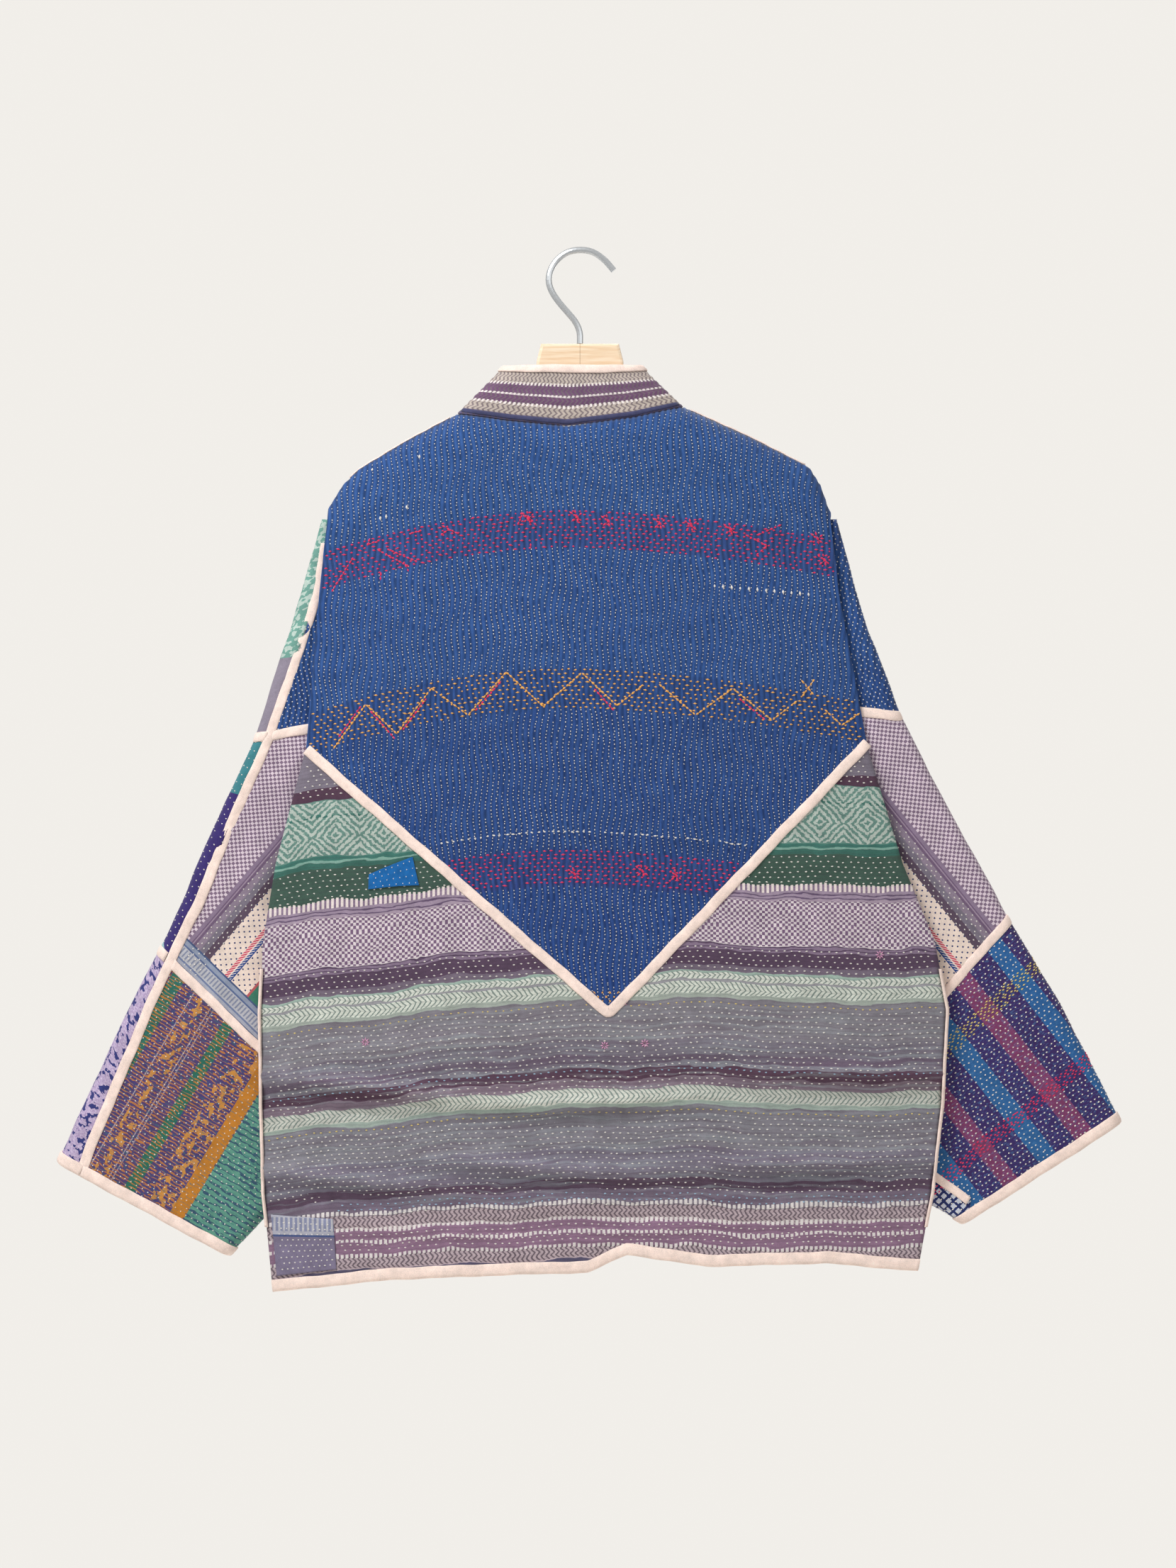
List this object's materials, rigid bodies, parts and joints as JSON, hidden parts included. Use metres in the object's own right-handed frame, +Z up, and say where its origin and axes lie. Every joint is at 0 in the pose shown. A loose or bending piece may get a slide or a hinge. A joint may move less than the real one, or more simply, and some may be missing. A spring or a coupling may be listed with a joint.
{
  "type": "patched boro jacket on a hanger",
  "caption": "Loose quilted patchwork jacket with a stand collar and wide bound sleeves, hanging with its back to the viewer on a wooden hanger",
  "frame": {"origin": "inside top of the hanger's hook, where it hangs", "axes": "+Z up, -Y out of the jacket's back, +X to the right as seen from the back"},
  "size_m": [0.9359, 0.0589, 0.9121],
  "materials": {
    "indigo_cloth": "quilted woven cotton, indigo blue",
    "striped_cloth": "quilted woven cotton, grey and plum stripes",
    "patch_cloth": "plain woven cotton patch",
    "blush_tape": "folded cotton tape",
    "dark_piping": "indigo cotton piping",
    "lavender_cloth": "quilted woven cotton, lavender check and stripes",
    "ochre_cloth": "quilted woven cotton, broken ochre and plum columns",
    "purple_cloth": "quilted woven cotton, purple and blue check",
    "beech": "clear-lacquered beech",
    "steel_wire": "drawn steel wire"
  },
  "bodies": {
    "root": {"back_yoke": "indigo_cloth", "back_lower": "striped_cloth", "blue_patch": "patch_cloth", "hem_corner_patch": "striped_cloth", "yoke_binding": "blush_tape", "collar": "striped_cloth", "collar_binding": "blush_tape", "collar_piping": "dark_piping", "front_left": "striped_cloth", "front_right": "striped_cloth", "back_hem_binding": "blush_tape", "front_left_hem_binding": "blush_tape", "front_right_hem_binding": "blush_tape", "front_left_edge_binding": "blush_tape", "front_right_edge_binding": "blush_tape", "side_piping_left": "blush_tape", "side_piping_right": "blush_tape", "shoulder_piping_left": "blush_tape", "shoulder_piping_right": "blush_tape", "hanger_bar": "beech", "hanger_hook": "steel_wire", "sleeve_left_upper_back": "indigo_cloth", "sleeve_left_upper_front": "striped_cloth", "sleeve_left_middle_back": "lavender_cloth", "sleeve_left_middle_front": "lavender_cloth", "sleeve_left_cuff_back": "ochre_cloth", "sleeve_left_cuff_front": "lavender_cloth", "sleeve_left_top_binding": "blush_tape", "sleeve_left_upper_cross_back": "blush_tape", "sleeve_left_lower_cross_back": "blush_tape", "cuff_left_binding_back": "blush_tape", "sleeve_left_upper_cross_front": "blush_tape", "sleeve_left_lower_cross_front": "blush_tape", "cuff_left_binding_front": "blush_tape", "sleeve_right_upper_back": "indigo_cloth", "sleeve_right_upper_front": "indigo_cloth", "sleeve_right_middle_back": "lavender_cloth", "sleeve_right_middle_front": "lavender_cloth", "sleeve_right_cuff_back": "purple_cloth", "sleeve_right_cuff_front": "purple_cloth", "sleeve_right_top_binding": "blush_tape", "sleeve_right_upper_cross_back": "blush_tape", "sleeve_right_lower_cross_back": "blush_tape", "cuff_right_binding_back": "blush_tape", "sleeve_right_upper_cross_front": "blush_tape", "sleeve_right_lower_cross_front": "blush_tape", "cuff_right_binding_front": "blush_tape"}
  },
  "joints": []
}
